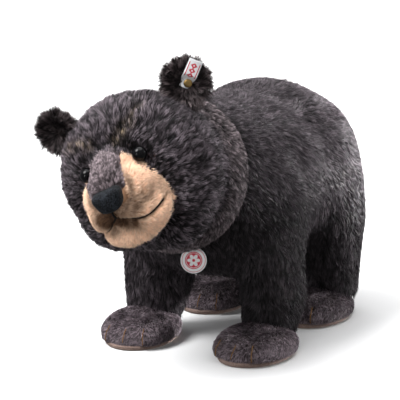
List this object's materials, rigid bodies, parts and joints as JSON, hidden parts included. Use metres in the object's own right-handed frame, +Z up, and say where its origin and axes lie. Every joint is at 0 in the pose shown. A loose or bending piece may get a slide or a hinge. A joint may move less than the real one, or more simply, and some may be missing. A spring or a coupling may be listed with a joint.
{
  "type": "plush toy bear",
  "caption": "Stuffed toy bear standing on all fours with its head turned, dark pile coat, pale muzzle, felt soles, glass eyes, brass ear rivet with a cloth tag, and a round chest tag.",
  "frame": {"origin": "on the floor, under the middle of the whole figure's box", "axes": "+Z up; the bear faces -Y, so +Y runs to its tail; +X is the bear's own left side"},
  "size_m": [0.2202, 0.4674, 0.3126],
  "materials": {
    "long_pile": "long black mohair pile, combed back",
    "short_pile": "short dense brown-black pile",
    "tan_pile": "short clipped tan pile",
    "nose_felt": "blue-black felt",
    "black_glass": "polished opaque black glass",
    "sole_felt": "pinkish grey-brown wool felt",
    "rivet_brass": "aged gilt brass",
    "tag_cloth": "white woven ribbon with plain red bars",
    "tag_card": "white card with a red centre, glazed"
  },
  "bodies": {
    "root": {"trunk": "long_pile", "head": "long_pile", "ear_left": "long_pile", "ear_right": "long_pile", "tail": "long_pile", "leg_front_left": "long_pile", "leg_front_right": "long_pile", "leg_rear_left": "long_pile", "leg_rear_right": "long_pile", "paw_front_left": "short_pile", "paw_front_right": "short_pile", "paw_rear_left": "short_pile", "paw_rear_right": "short_pile", "muzzle": "tan_pile", "nose": "nose_felt", "eye_left": "black_glass", "eye_right": "black_glass", "sole_front_left": "sole_felt", "sole_front_right": "sole_felt", "sole_rear_left": "sole_felt", "sole_rear_right": "sole_felt", "ear_rivet": "rivet_brass", "ear_tag": "tag_cloth", "hang_tag": "tag_card"}
  },
  "joints": []
}
